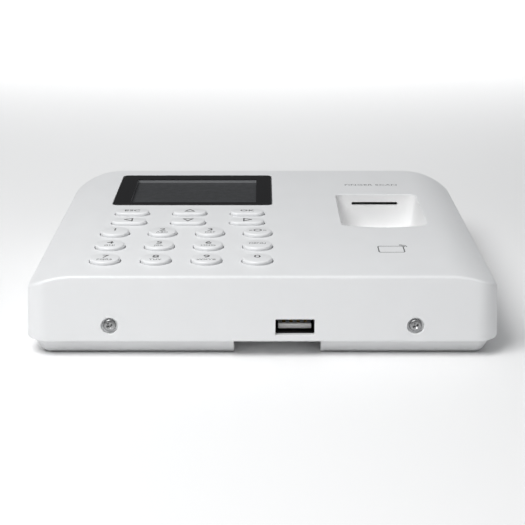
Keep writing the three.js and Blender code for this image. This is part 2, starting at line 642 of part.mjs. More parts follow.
place("sensor_glass", onRamp(glass), blackGlass);
const sensorTop = Math.min(-SCOOP.wall, glassBottom) - GAP;
const sensorBottom = sensorTop - SENSOR.thickness;
place("sensor_housing", onRamp(block(0, 0, sensorBottom, SENSOR.width, SENSOR.length, SENSOR.thickness)),
  blackPlastic);
place("sensor_board", onRamp(block(0, -5, sensorBottom - GAP - 1, SENSOR.width - 4, SENSOR.length - 10, 1)),
  greenBoard);
const detectHeight = 2 * (SLOT.below - WALL - GAP);
place("detect_window", block(SLOT.x, SCOOP.far + SCOOP.wall + GAP + 0.6, HEIGHT - SLOT.below - detectHeight / 2,
  SLOT.width + 4, 1.2, detectHeight), blackGlass);
place("usb_shell", usbShell(), steel);
place("usb_tongue", usbTongue(), tonguePlastic);
place("usb_board", usbBoard(), greenBoard);
place("main_board", mainBoard(), greenBoard);
const chipBottom = boardTop + GAP / 2;
const chip = block(PROCESSOR.x, PROCESSOR.y, chipBottom, PROCESSOR.size, PROCESSOR.size, PROCESSOR.height);
place("processor", chip, blackPlastic);
place("speaker", speaker(), blackPlastic);
place("cell_holder", cellHolder(), blackPlastic);
const cellBottom = holderBottom + CELL.base + GAP;
place("coin_cell", bar(CELL.x, CELL.y, cellBottom, cellBottom + CELL.height, CELL.radius, 28), steel);
place("antenna_board", cardCoil(), greenBoard);
place("network_jack", networkJack(), steel);
place("dc_jack", dcJack(), blackPlastic);
place("display_ribbon", ribbon(-14, 12, [
  [15, boardTop + 0.7],
  [8, boardTop + 0.7],
  [7, boardTop + 1.4],
  [14, lightTop - 2.4],
  [24, lightTop - 1.5],
]), ribbonFilm);
place("keypad_ribbon", ribbon(-30, 8, [
  [-22, keypadBoardTop - BOARD_THICKNESS - 0.5],
  [-30, keypadBoardTop - BOARD_THICKNESS - 1.5],
  [-33, boardTop + 2],
  [-30, boardTop + 0.7],
]), ribbonFilm);
place("sensor_ribbon", ribbon(33, 4, [
  [-17.5, boardTop + 3.4],
  [-14, boardTop + 3.4],
  [-9, boardTop + 5],
  [-6, boardTop + 8],
]), ribbonFilm);
place("tamper_switch", tamperSwitch(), blackPlastic);
const plunger = bar(PLUNGER.x, PLUNGER.y, PLATE_FLOOR + GAP, plungerTop, PLUNGER.radius, 12);
place("tamper_plunger", plunger, keyPlastic);
for (const [name, side] of frontScrewSides) place("front_screw_" + name, frontScrew(side), steel);
rearScrewPlaces.forEach(([x, y], i) => place("rear_screw_" + (i + 1), rearScrew(x, y), steel));

export default terminal;
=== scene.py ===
"""Fingerprint scanner terminal: the finished surface of every piece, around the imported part.

Sizes are millimetres and become metres when a mesh is made. The terminal lies on its back, with
+Z out of its face and -Y towards the edge that holds the data socket.
"""

import math

import bmesh
import bpy
from mathutils import Matrix, Vector
from mathutils.geometry import delaunay_2d_cdt


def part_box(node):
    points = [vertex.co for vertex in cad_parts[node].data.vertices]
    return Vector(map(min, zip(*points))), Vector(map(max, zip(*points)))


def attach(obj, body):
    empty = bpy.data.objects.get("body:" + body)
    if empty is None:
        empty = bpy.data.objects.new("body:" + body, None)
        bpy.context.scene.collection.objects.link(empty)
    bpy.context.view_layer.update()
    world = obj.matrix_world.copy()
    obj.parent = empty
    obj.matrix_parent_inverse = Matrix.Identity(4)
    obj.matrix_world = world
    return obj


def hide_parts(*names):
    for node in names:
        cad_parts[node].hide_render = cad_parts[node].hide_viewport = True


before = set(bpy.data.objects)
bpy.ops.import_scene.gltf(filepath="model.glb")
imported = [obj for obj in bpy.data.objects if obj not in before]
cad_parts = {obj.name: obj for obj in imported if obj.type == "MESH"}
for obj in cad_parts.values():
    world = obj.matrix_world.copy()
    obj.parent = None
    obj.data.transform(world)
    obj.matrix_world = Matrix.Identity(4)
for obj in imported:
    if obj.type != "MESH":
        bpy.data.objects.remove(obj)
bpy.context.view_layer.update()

MM = 0.001
MAIN_BODY = "terminal"


def box(node):
    low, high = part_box(node)
    return low / MM, high / MM


def middle_of(node):
    low, high = box(node)
    return (low + high) / 2


def size_of(node):
    low, high = box(node)
    return high - low


# ---- sizes of the covers ---------------------------------------------------------------------
WIDTH, DEPTH, _ = size_of("front_cover")
COVER_FOOT = box("front_cover")[0].z
HEIGHT = box("front_cover")[1].z
WALL = 2.2
DRAFT = 0.052
FRONT_CORNER = 8.0
BACK_CORNER = 20.0
ROLL_WIDTH = 16.0
ROLL_DROP = 4.2
ROLL_START = WIDTH / 2 - (HEIGHT - COVER_FOOT) * DRAFT - ROLL_WIDTH
ROLL_RADIUS = (ROLL_WIDTH**2 + ROLL_DROP**2) / (2 * ROLL_DROP)
CREASE = 1.0  # rounding between the face and the walls
LIP = 0.7  # rounding at the walls' lower edge
FRONT = -DEPTH / 2

PLINTH_INSET_TOP = 2.0
PLINTH_INSET_BOTTOM = 5.2
PLINTH_WALL = 2.2
PLINTH_EDGE = 1.6
PLATE_FLOOR = 2.0
PLATE_GAP = 0.3  # between the wall plate and the rear cover
NOTCH = (-9.6, 19.4)
NOTCH_LENGTH = 60.0
NOTCH_BACK = -18.0  # the notch's far end, from the network socket's mouth
CABLE_ROOM = (50.1, 33.0)
CABLE_ROOM_X = 15.45
CABLE_ROOM_Y = -3.0  # from the network socket's mouth
WALL_HOLES = ((-45, -20), (-45, 38), (45, -20), (45, 38))
WALL_HOLE = 2.3
WALL_HOLE_SINK = 3.6
EAR_WIDTH = 9.0
EAR_THICKNESS = 3.0
EAR_ABOVE = 4.5
EAR_CLEARANCE = 1.1
EAR_HOLE = 1.5
HOOK_X = 40.0
HOOK_Y = DEPTH / 2 - 9
HOOK_WIDTH = 9.0
HOOK_THICKNESS = 2.0
HOOK_FOOT = 1.0
HOOK_LIP = 3.7
HOOK_LIP_BACK = 1.35  # from the arm's middle to the lip's
HOOK_LIP_Z = (7.7, 9.1)

# ---- sizes of the finger scoop -----------------------------------------------------------------
SCOOP_X = 45.2
SCOOP_HALF = 16.0
SCOOP_LIP = -15.4  # where the ramp leaves the face, in the middle
SCOOP_FAR = 32.9
SCOOP_DEPTH = 15.0
SCOOP_LEAN = 1.9
RAMP_SLOPE = 0.3348
RAMP_ANGLE = math.atan(RAMP_SLOPE)
TROUGH = 0.0042  # how fast the ramp rises towards its sides, per millimetre squared
SIDE_DRAFT = math.tan(math.radians(9))
LIP_RADIUS = 14.0
SCOOP_RIM = 0.3
FOOT_RADIUS = 3.0
NEAR_CORNER = 2.5
FAR_CORNER = 3.5
SCOOP_WALL = 2.0
SLOT_BELOW = 3.8
SLOT_HEIGHT = 1.3
SLOT_WIDTH = 18.6

# ---- sizes of the keys, window and sockets -----------------------------------------------------
KEY_FLANGE = 0.9
KEY_CLEARANCE = 0.35
KEY_RIM = 0.25  # rounding of each key's hole
KEY_EDGE = 0.75  # rounding of each key's top
KEY_CROWN = 0.22
KEY_MARK_RISE = 0.03
LENS_CORNER = 2.0
VIEW_MIDDLE = (-27.25, 38.95)
VIEW_SIZE = (49.3, 37.1)
USB_WALL = 0.3
TONGUE_WIDTH = 11.1
TONGUE_THICKNESS = 1.84
TONGUE_BELOW = 0.55  # from the shell's inner floor to the tongue
RECESS_RADIUS = 2.8
RECESS_DEPTH = 1.3
FRONT_SCREW_HEAD = 2.1
REAR_SCREW_HEAD = 2.3
REAR_SCREW_SHANK = 1.15
REAR_HEAD_HEIGHT = 1.4
JACK_SILL = 2.4
JACK_MOUTH = (11.8, 6.8, 13.0)  # width, height and depth
CARD_MARK = (44.7, -43.2)
FACE_WORDS = (44.5, 47.9)
GLASS = (18.0, 22.0, 2.0)
GLASS_Y = 11.0
GLASS_POCKET = 0.3  # clearance around the sensor glass
GLASS_START = -13.8  # where the sensor glass's sloping plane would meet the face

# Directions to build along: (u, v) is the outline's plane and w runs out of it.
UP = Matrix()
DOWN = Matrix(((1, 0, 0, 0), (0, -1, 0, 0), (0, 0, -1, 0), (0, 0, 0, 1)))
OUT_OF_FRONT = Matrix(((1, 0, 0, 0), (0, 0, -1, 0), (0, 1, 0, 0), (0, 0, 0, 1)))


# ---- shapes ------------------------------------------------------------------------------------
def rounded(width, depth, radius, grow=0.0, middle=(0.0, 0.0), steps=6, edge_steps=1):
    """Points of a round-cornered rectangle, anticlockwise; radius is a number or (front, back)."""
    front, back = radius if isinstance(radius, tuple) else (radius, radius)
    half_x, half_y = width / 2 + grow, depth / 2 + grow
    points = []
    for side_x, side_y, corner, start in (
        (1, -1, front, -90),
        (1, 1, back, 0),
        (-1, 1, back, 90),
        (-1, -1, front, 180),
    ):
        corner = max(min(corner + grow, half_x, half_y), 1e-3)
        centre = (middle[0] + side_x * (half_x - corner), middle[1] + side_y * (half_y - corner))
        arc = []
        for i in range(steps + 1):
            angle = math.radians(start + 90 * i / steps)
            arc.append((centre[0] + corner * math.cos(angle), centre[1] + corner * math.sin(angle)))
        if points:
            points += between(points[-1], arc[0], edge_steps)
        points += arc
    return points + between(points[-1], points[0], edge_steps)


def between(a, b, steps):
    """The inner points of a straight edge from a to b cut into equal steps."""
    return [tuple(p + (q - p) * i / steps for p, q in zip(a, b)) for i in range(1, steps)]


def circle(radius, steps=24, middle=(0.0, 0.0)):
    angles = [2 * math.pi * i / steps for i in range(steps)]
    return [(middle[0] + radius * math.cos(a), middle[1] + radius * math.sin(a)) for a in angles]


def bend(a, b, c, steps, weight=0.74):
    """A round corner from a to c, drawn towards b."""
    points = []
    for i in range(steps + 1):
        t = i / steps
        share = ((1 - t) ** 2, 2 * t * (1 - t) * weight, t * t)
        points.append((a * share[0] + b * share[1] + c * share[2]) / sum(share))
    return points


class Solid:
    """Points and faces of one or more closed bodies."""

    def __init__(self):
        self.points = []
        self.faces = []

    def add(self, points, faces, place=UP):
        start = len(self.points)
        self.points += [place @ Vector(p) for p in points]
        self.faces += [[start + i for i in face] for face in faces]
        return self

    def loft(self, sections, place=UP):
        """A closed body through (outline, w) sections, whose outlines have equal point counts."""
        count = len(sections[0][0])
        points = [(u, v, w) for outline, w in sections for u, v in outline]
        faces = [list(range(count))[::-1]]
        for r in range(len(sections) - 1):
            for i in range(count):
                a, b = r * count + i, r * count + (i + 1) % count
                faces.append([a, b, b + count, a + count])
        faces.append(list(range(len(points) - count, len(points))))
        return self.add(points, faces, place)

    def prism(self, outline, low, high, place=UP):
        """A straight body from one outline, between two heights."""
        return self.loft([(outline, low), (outline, high)], place)

    def ring(self, sections):
        """A closed frame: the last section joins back to the first, and neither is capped."""
        count = len(sections[0][0])
        self.loft(sections)
        self.faces = [face for face in self.faces if len(face) == 4]
        last = len(self.points) - count
        for i in range(count):
            following = (i + 1) % count
            self.faces.append([last + i, last + following, following, i])
        return self

    def turned(self, profile, steps=32, place=UP):
        """A body of revolution about w, from (radius, w) pairs."""
        return self.loft([(circle(r, steps), w) for r, w in profile], place)

    def mesh(self, name):
        mesh = bpy.data.meshes.new(name)
        mesh.from_pydata([p * MM for p in self.points], [], self.faces)
        editable = bmesh.new()
        editable.from_mesh(mesh)
        bmesh.ops.remove_doubles(editable, verts=editable.verts, dist=2e-4 * MM)
        bmesh.ops.recalc_face_normals(editable, faces=editable.faces)
        editable.to_mesh(mesh)
        editable.free()
        return mesh

    def object(self, name):
        made = bpy.data.objects.new(name, self.mesh(name))
        bpy.context.scene.collection.objects.link(made)
        return made


def block(low, high, edge=0.2):
    """A box between two corners, as loft sections with its upright edges rounded."""
    width, depth = high[0] - low[0], high[1] - low[1]
    middle = ((low[0] + high[0]) / 2, (low[1] + high[1]) / 2)
    return [(rounded(width, depth, edge, middle=middle, steps=3), w) for w in (low[2], high[2])]


def baked(piece):
    """The piece's mesh with its modifiers applied."""
    bpy.context.view_layer.update()
    evaluated = piece.evaluated_get(bpy.context.evaluated_depsgraph_get())
    mesh = bpy.data.meshes.new_from_object(evaluated)
    mesh.name = piece.name
    piece.modifiers.clear()
    piece.data = mesh
    return piece


def boolean(piece, tool, operation="DIFFERENCE"):
    modifier = piece.modifiers.new("boolean", "BOOLEAN")
    modifier.operation = operation
    modifier.solver = "EXACT"
    modifier.object = tool
    baked(piece)
    bpy.data.objects.remove(tool)
    return piece


def soften(piece, width, segments=2, angle=40):
    """Rounds the piece's sharp edges."""
    modifier = piece.modifiers.new("edges", "BEVEL")
    modifier.width = width * MM
    modifier.segments = segments
    modifier.limit_method = "ANGLE"
    modifier.angle_limit = math.radians(angle)
    return baked(piece)


def finish(piece, material, body=MAIN_BODY, stands_for=(), smooth=35):
    """Gives a finished piece its shading, its material and the body that it moves with."""
    if material is not None:
        piece.data.materials.clear()
        piece.data.materials.append(material)
    piece.data.shade_smooth()
    piece.data.set_sharp_from_angle(angle=math.radians(smooth))
    weighted = piece.modifiers.new("normals", "WEIGHTED_NORMAL")
    weighted.keep_sharp = True
    weighted.weight = 80
    baked(piece)
    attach(piece, body)
    if stands_for:
        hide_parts(*stands_for)
    return piece


# ---- materials ---------------------------------------------------------------------------------
def grey(value, tint=(1.0, 1.0, 1.0)):
    return tuple(value * t for t in tint) + (1.0,)


class Finish:
    """A node material on Object coordinates, with helpers for grain and mottling."""

    def __init__(self, name):
        self.material = bpy.data.materials.new(name)
        self.material.use_nodes = True
        self.tree = self.material.node_tree
        self.nodes = self.tree.nodes
        self.shader = self.nodes["Principled BSDF"]
        self.place = self.node("ShaderNodeTexCoord").outputs["Object"]

    def node(self, kind, **settings):
        made = self.nodes.new(kind)
        for key, value in settings.items():
            setattr(made, key, value)
        return made

    def link(self, source, target):
        self.tree.links.new(source, target)

    def set(self, **values):
        for key, value in values.items():
            self.shader.inputs[key.replace("_", " ")].default_value = value
        return self

    def noise(self, scale, detail=2.0, stretch=None):
        texture = self.node("ShaderNodeTexNoise")
        texture.inputs["Scale"].default_value = scale
        texture.inputs["Detail"].default_value = detail
        place = self.place
        if stretch:
            mapping = self.node("ShaderNodeMapping")
            mapping.inputs["Scale"].default_value = stretch
            self.link(place, mapping.inputs["Vector"])
            place = mapping.outputs["Vector"]
        self.link(place, texture.inputs["Vector"])
        return texture.outputs["Fac"]

    def spread(self, source, low, high, start=0.3, end=0.7):
        mapped = self.node("ShaderNodeMapRange")
        for key, value in zip(("From Min", "From Max", "To Min", "To Max"), (start, end, low, high)):
            mapped.inputs[key].default_value = value
        self.link(source, mapped.inputs["Value"])
        return mapped.outputs["Result"]

    def mix(self, factor, first, second):
        mixed = self.node("ShaderNodeMix", data_type="RGBA")
        self.link(factor, mixed.inputs["Factor"])
        for socket, colour in ((mixed.inputs[6], first), (mixed.inputs[7], second)):
            if isinstance(colour, tuple):
                socket.default_value = colour
            else:
                self.link(colour, socket)
        return mixed.outputs[2]

    def in_box(self, middle, half):
        """One inside a box and zero outside it."""
        split = self.node("ShaderNodeSeparateXYZ")
        self.link(self.place, split.inputs["Vector"])
        factor = None
        for axis, at, reach in zip("XYZ", middle, half):
            near = self.node("ShaderNodeMath", operation="COMPARE")
            self.link(split.outputs[axis], near.inputs[0])
            near.inputs[1].default_value = at * MM
            near.inputs[2].default_value = reach * MM
            if factor is not None:
                both = self.node("ShaderNodeMath", operation="MULTIPLY")
                self.link(near.outputs[0], both.inputs[0])
                self.link(factor, both.inputs[1])
                near = both
            factor = near.outputs[0]
        return factor

    def colour(self, source):
        self.link(source, self.shader.inputs["Base Color"])
        return self

    def roughness(self, source):
        self.link(source, self.shader.inputs["Roughness"])
        return self

    def bump(self, height, distance, strength=1.0):
        made = self.node("ShaderNodeBump")
        made.inputs["Distance"].default_value = distance * MM
        made.inputs["Strength"].default_value = strength
        self.link(height, made.inputs["Height"])
        self.link(made.outputs["Normal"], self.shader.inputs["Normal"])
        return self


def moulded(name, colour, roughness, shade=0.97, grain=2600.0, depth=0.012, scoop=None, **values):
    """Moulded plastic: fine grain, faint flow marks and slightly uneven gloss.

    scoop is a lighter colour painted inside the finger scoop: painted light that brightens its walls.
    """
    made = Finish(name)
    flow = made.noise(28.0, 3.0)
    darker = tuple(c * shade for c in colour[:3]) + (1.0,)
    base = made.mix(made.spread(flow, 0.0, 1.0), darker, colour)
    # Painted light: a box around the finger scoop gets the lighter scoop colour.
    if scoop:
        middle = (SCOOP_X, (SCOOP_LIP + SCOOP_FAR) / 2, HEIGHT - SCOOP_DEPTH / 2 - 0.6)
        half = (SCOOP_HALF + 1.0, (SCOOP_FAR - SCOOP_LIP) / 2 + 0.7, SCOOP_DEPTH / 2 + 0.3)
        base = made.mix(made.in_box(middle, half), base, scoop)
    made.colour(base)
    made.roughness(made.spread(made.noise(190.0), roughness - 0.04, roughness + 0.04))
    made.bump(made.noise(grain, 1.0), depth, 0.5)
    return made.set(**values).material


def metal(name, colour, roughness, stretch=(1.0, 14.0, 1.0), shade=0.8):
    """Plated or brushed metal with fine lines and light tarnish."""
    made = Finish(name)
    lines = made.noise(1500.0, 3.0, stretch)
    darker = tuple(c * shade for c in colour[:3]) + (1.0,)
    made.colour(made.mix(made.spread(made.noise(240.0, 4.0), 0.0, 1.0), darker, colour))
    made.roughness(made.spread(lines, roughness - 0.06, roughness + 0.1))
    made.bump(lines, 0.004, 0.4)
    return made.set(Metallic=1.0).material


def circuit_board():
    """Green solder mask over copper tracks, with tinned pads."""
    made = Finish("circuit_board")
    tracks = made.node("ShaderNodeTexBrick", offset=0.3, squash=0.6)
    tracks.inputs["Scale"].default_value = 260.0
    tracks.inputs["Mortar Size"].default_value = 0.035
    tracks.inputs["Color1"].default_value = (0.012, 0.09, 0.04, 1)
    tracks.inputs["Color2"].default_value = (0.016, 0.11, 0.05, 1)
    tracks.inputs["Mortar"].default_value = (0.03, 0.17, 0.07, 1)
    made.link(made.place, tracks.inputs["Vector"])
    pads = made.node("ShaderNodeTexVoronoi")
    pads.inputs["Scale"].default_value = 380.0
    made.link(made.place, pads.inputs["Vector"])
    pad = made.spread(pads.outputs["Distance"], 1.0, 0.0, 0.13, 0.15)
    made.colour(made.mix(pad, tracks.outputs["Color"], (0.62, 0.6, 0.55, 1)))
    made.roughness(made.spread(made.noise(400.0), 0.32, 0.5))
    return made.bump(tracks.outputs["Fac"], 0.03, 0.5).material


def printed_black():
    """Black ink printed under the lens: deep, even and glossy."""
    made = Finish("printed_black")
    specks = made.spread(made.noise(900.0, 4.0), 0.0, 1.0)
    made.colour(made.mix(specks, (0.0075, 0.0075, 0.0085, 1), (0.010, 0.010, 0.011, 1)))
    made.roughness(made.spread(made.noise(60.0, 3.0), 0.10, 0.17))
    return made.set(IOR=1.3).material


def clear_window():
    """Clear acrylic: mostly see-through, with a soft reflection."""
    made = Finish("clear_window")
    made.nodes.remove(made.shader)
    through = made.node("ShaderNodeBsdfTransparent")
    through.inputs["Color"].default_value = (0.95, 0.955, 0.96, 1)
    gloss = made.node("ShaderNodeBsdfAnisotropic")
    gloss.inputs["Color"].default_value = (1, 1, 1, 1)
    made.link(made.spread(made.noise(55.0, 4.0), 0.06, 0.16), gloss.inputs["Roughness"])
    mixed = made.node("ShaderNodeMixShader")
    made.link(made.spread(made.noise(20.0), 0.05, 0.08), mixed.inputs["Fac"])
    made.link(through.outputs["BSDF"], mixed.inputs[1])
    made.link(gloss.outputs["BSDF"], mixed.inputs[2])
    made.link(mixed.outputs["Shader"], made.nodes["Material Output"].inputs["Surface"])
    return made.material


def screen():
    """An unlit display: dark grey glass with its fine rows of cells."""
    made = Finish("screen")
    rows = made.node("ShaderNodeTexWave", bands_direction="Y")
    rows.inputs["Scale"].default_value = 700.0
    made.link(made.place, rows.inputs["Vector"])
    cloud = made.spread(made.noise(38.0, 2.0, (1.0, 2.2, 1.0)), 0.0, 1.0)
    base = made.mix(cloud, (0.056, 0.0565, 0.058, 1), (0.076, 0.076, 0.079, 1))
    lined = made.mix(rows.outputs["Fac"], base, (0.06, 0.061, 0.063, 1))
    made.colour(lined).roughness(made.spread(made.noise(300.0), 0.3, 0.42))
    return made.set(IOR=1.35).material


def ribbon_film():
    """Amber film over a row of flat copper conductors."""
    made = Finish("ribbon_film")
    rows = made.node("ShaderNodeTexWave", bands_direction="X")
    rows.inputs["Scale"].default_value = 320.0
    made.link(made.place, rows.inputs["Vector"])
    line = made.spread(rows.outputs["Fac"], 0.0, 1.0, 0.4, 0.6)
    made.colour(made.mix(line, (0.45, 0.2, 0.04, 1), (0.62, 0.33, 0.1, 1)))
    made.roughness(made.spread(made.noise(200.0), 0.3, 0.42))
    return made.bump(line, 0.02, 0.4).material


COOL = (0.985, 0.992, 1.0)
white_plastic = moulded("white_plastic", grey(0.87, COOL), 0.42, 0.985)
# The scoop colour is painted light: the inside of the finger scoop is lighter than the rest of the cover.
cover_plastic = moulded("cover_plastic", grey(0.87, COOL), 0.42, 0.985, scoop=grey(0.925))
plinth_plastic = moulded("plinth_plastic", grey(0.76, COOL), 0.5, 0.97)
key_plastic = moulded("key_plastic", grey(0.87, COOL), 0.34, 0.985, 3000.0, 0.006)
black_plastic = moulded("black_plastic", grey(0.012), 0.5, 0.8)
socket_plastic = moulded("socket_plastic", grey(0.96, (1.0, 0.99, 0.97)), 0.5)
grey_rubber = moulded("grey_rubber", grey(0.26, COOL), 0.82, 0.85, 1400.0, 0.03)
gasket_foam = moulded("gasket_foam", grey(0.46, COOL), 0.7, 0.85, 1800.0, 0.05)
mark_ink = moulded("mark_ink", grey(0.06, COOL), 0.6, 0.8)
face_ink = moulded("face_ink", grey(0.1, COOL), 0.6, 0.8)
dark_glass = moulded("dark_glass", grey(0.006, (0.8, 0.9, 1.0)), 0.08, 0.8, 500.0, 0.001, IOR=1.5)
steel = metal("steel", grey(0.62, COOL), 0.26)
# Painted shade: the front screws' steel is darker than the steel elsewhere, standing in for the shade in
# their recesses.
screw_steel = metal("screw_steel", grey(0.4, COOL), 0.3)
dark_steel = metal("dark_steel", grey(0.05), 0.45)
gold = metal("gold", (0.85, 0.6, 0.25, 1), 0.24)
board = circuit_board()


# ---- front cover -------------------------------------------------------------------------------
def cover_outline(inset, steps=14, edge_steps=1):
    corners = (FRONT_CORNER - min(inset, FRONT_CORNER - 1), BACK_CORNER - inset)
    return rounded(WIDTH - 2 * inset, DEPTH - 2 * inset, corners, 0.0, (0, 0), steps, edge_steps)


def roof(x, sink=0.0):
    """Height of the face, which is flat and then rolls down to each side."""
    over = max(abs(x) - ROLL_START, 0.0)
    return HEIGHT - sink - (ROLL_RADIUS - math.sqrt(ROLL_RADIUS**2 - over**2))


def inside(outline, x, y):
    """Whether a point is inside an outline."""
    odd = False
    for (ax, ay), (bx, by) in zip(outline, outline[1:] + outline[:1]):
        if (ay > y) != (by > y) and x < (bx - ax) * (y - ay) / (by - ay) + ax:
            odd = not odd
    return odd


def face_cap(ring, sink):
    """Points and faces of the face inside a ring, with columns of points where it rolls."""
    edge = [(p.x, p.y) for p in ring]
    spacing = 1.8
    margin = spacing / 2
    columns = [ROLL_START + i * spacing for i in range(int(ROLL_WIDTH / spacing) + 1)]
    rows = [-DEPTH / 2 + 3 + i * 4.0 for i in range(int(DEPTH / 4))]
    extra = []
    for x in columns:
        for y in rows:
            if inside(edge, x + margin, y + margin * (1 if y > 0 else -1)):
                extra += [(x, y), (-x, y)]
    flat = [Vector(p) for p in edge + extra]
    found = delaunay_2d_cdt(flat, [], [list(range(len(edge)))], 1, 1e-5)
    return [(p.x, p.y, roof(p.x, sink)) for p in found[0]], found[2]


def cover_body(inset, sink, foot, crease, lip):
    """The cover's outer form, filled in; inset draws its walls in and sink lowers its face."""
    outer, inner = cover_outline(0, 14, 56), cover_outline(1, 14, 56)
    columns = []
    for (x, y), (inner_x, inner_y) in zip(outer, inner):
        out_x, out_y = x - inner_x, y - inner_y

        def at(z, further=0.0):
            drawn = inset + DRAFT * (z - COVER_FOOT) + further
            return Vector((x - out_x * drawn, y - out_y * drawn, z))

        top = HEIGHT - sink
        for _ in range(5):
            top = roof(at(top).x, sink)
        beyond = at(top, crease)
        beyond.z = roof(beyond.x, sink)
        lower = bend(at(foot, lip), at(foot), at(foot + lip), 4)
        columns.append(lower + bend(at(top - crease), at(top), beyond, 7))
    rings = list(zip(*columns))
    count = len(columns)
    points = [p for ring in rings for p in ring]
    faces = [list(range(count))[::-1]]
    for r in range(len(rings) - 1):
        for i in range(count):
            a, b = r * count + i, r * count + (i + 1) % count
            faces.append([a, b, b + count, a + count])
    body = Solid().add(points, faces)
    return body.add(*face_cap(rings[-1], sink))


def scoop_sections(wall):
    """Level sections of the finger scoop, grown by wall for the shell around it."""
    near = SCOOP_LIP - wall / math.sin(RAMP_ANGLE)
    far = SCOOP_FAR + wall
    lean = SCOOP_LEAN / SCOOP_DEPTH
    lean_angle = math.atan(lean)
    bow = TROUGH / RAMP_SLOPE
    lip_reach = LIP_RADIUS * math.tan(RAMP_ANGLE / 2)
    lip_depth = LIP_RADIUS * (1 - math.cos(RAMP_ANGLE))
    room = RAMP_SLOPE * (far - near - FOOT_RADIUS / math.cos(lean_angle))
    foot_depth = (room - FOOT_RADIUS / math.cos(RAMP_ANGLE)) / (1 + RAMP_SLOPE * lean)
    foot_y = far - lean * foot_depth - FOOT_RADIUS / math.cos(lean_angle)

    def foot_half(depth):
        return math.sqrt(max(FOOT_RADIUS**2 - (depth - foot_depth) ** 2, 0.0))

    def flare(depth):
        short = SCOOP_RIM - max(depth, 0.0)
        return 0.0 if wall or short <= 0 else SCOOP_RIM - math.sqrt(SCOOP_RIM**2 - short**2)

    def near_at(depth):
        if depth >= foot_depth + FOOT_RADIUS * math.cos(RAMP_ANGLE):
            return foot_y - foot_half(depth)
        if depth >= lip_depth or wall:
            return near + depth / RAMP_SLOPE
        return near - lip_reach + math.sqrt(2 * LIP_RADIUS * max(depth, 0.0) - max(depth, 0.0) ** 2)

    def far_at(depth):
        if depth > foot_depth + FOOT_RADIUS * math.sin(lean_angle):
            return foot_y + foot_half(depth)
        return far + flare(depth) - lean * max(depth, 0.0)

    def section(depth):
        near_y, far_y = near_at(depth), far_at(depth)
        half = SCOOP_HALF + wall + flare(depth) - SIDE_DRAFT * max(depth, 0.0)
        half = min(half, 0.999 * math.sqrt(max(far_y - near_y, 1e-4) / bow))
        side_y = near_y + bow * half**2
        space = 0.48 * (far_y - side_y)
        corners = (min(NEAR_CORNER, space), min(FAR_CORNER, space))
        middle = (0.0, (side_y + far_y) / 2)
        outline = rounded(2 * half, far_y - side_y, corners, 0.0, middle, 7, 12)
        return [
            (SCOOP_X + x, y - bow * (half**2 - x**2) if y < middle[1] else y) for x, y in outline
        ]

    lip_depths = [lip_depth * (i / 9) ** 2 for i in range(1, 10)]
    deep = foot_depth + FOOT_RADIUS * math.sin(lean_angle)
    steps = 18
    ramp_depths = [lip_depth + (deep - lip_depth) * i / steps for i in range(1, steps)]
    foot_angles = [lean_angle + (math.radians(87) - lean_angle) * i / 8 for i in range(9)]
    foot_depths = [foot_depth + FOOT_RADIUS * math.sin(a) for a in foot_angles]
    depths = lip_depths + ramp_depths + foot_depths
    sections = [(section(0.0), HEIGHT + 1.0)] + [(section(d), HEIGHT - d) for d in depths]
    return sections[::-1]


def flared(outline, surface, depth, rim):
    """Sections of a hole that opens out to its rim; outline takes how far to grow."""
    sections = [(outline(0.0), surface - depth)]
    for angle in (0, 20, 40, 60, 80):
        turn = math.radians(angle)
        grow = rim * (1 - math.cos(turn))
        sections.append((outline(grow), surface - rim + rim * math.sin(turn)))
    sections.append((outline(rim), surface + 1.0))
    return sections


def key_nodes():
    return sorted(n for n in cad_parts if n.startswith("key_"))


def key_shape(node):
    """Middle, width, depth and corner of a key's cap."""
    middle, size = middle_of(node), size_of(node)
    width, depth = size.x - 2 * KEY_FLANGE, size.y - 2 * KEY_FLANGE
    return middle, width, depth, min(width, depth) / 2 - 0.05


def key_outline(node, grow, steps=8):
    middle, width, depth, corner = key_shape(node)
    return rounded(width, depth, corner, grow, (middle.x, middle.y), steps)


def on_ramp():
    """The sloping plane of the sensor glass about the glass's middle, with w out of the ramp."""
    z = HEIGHT - (GLASS_Y - GLASS_START) * RAMP_SLOPE
    return Matrix.Translation((SCOOP_X, GLASS_Y, z)) @ Matrix.Rotation(-RAMP_ANGLE, 4, "X")


def front_face_at(z):
    return FRONT + (z - COVER_FOOT) * DRAFT


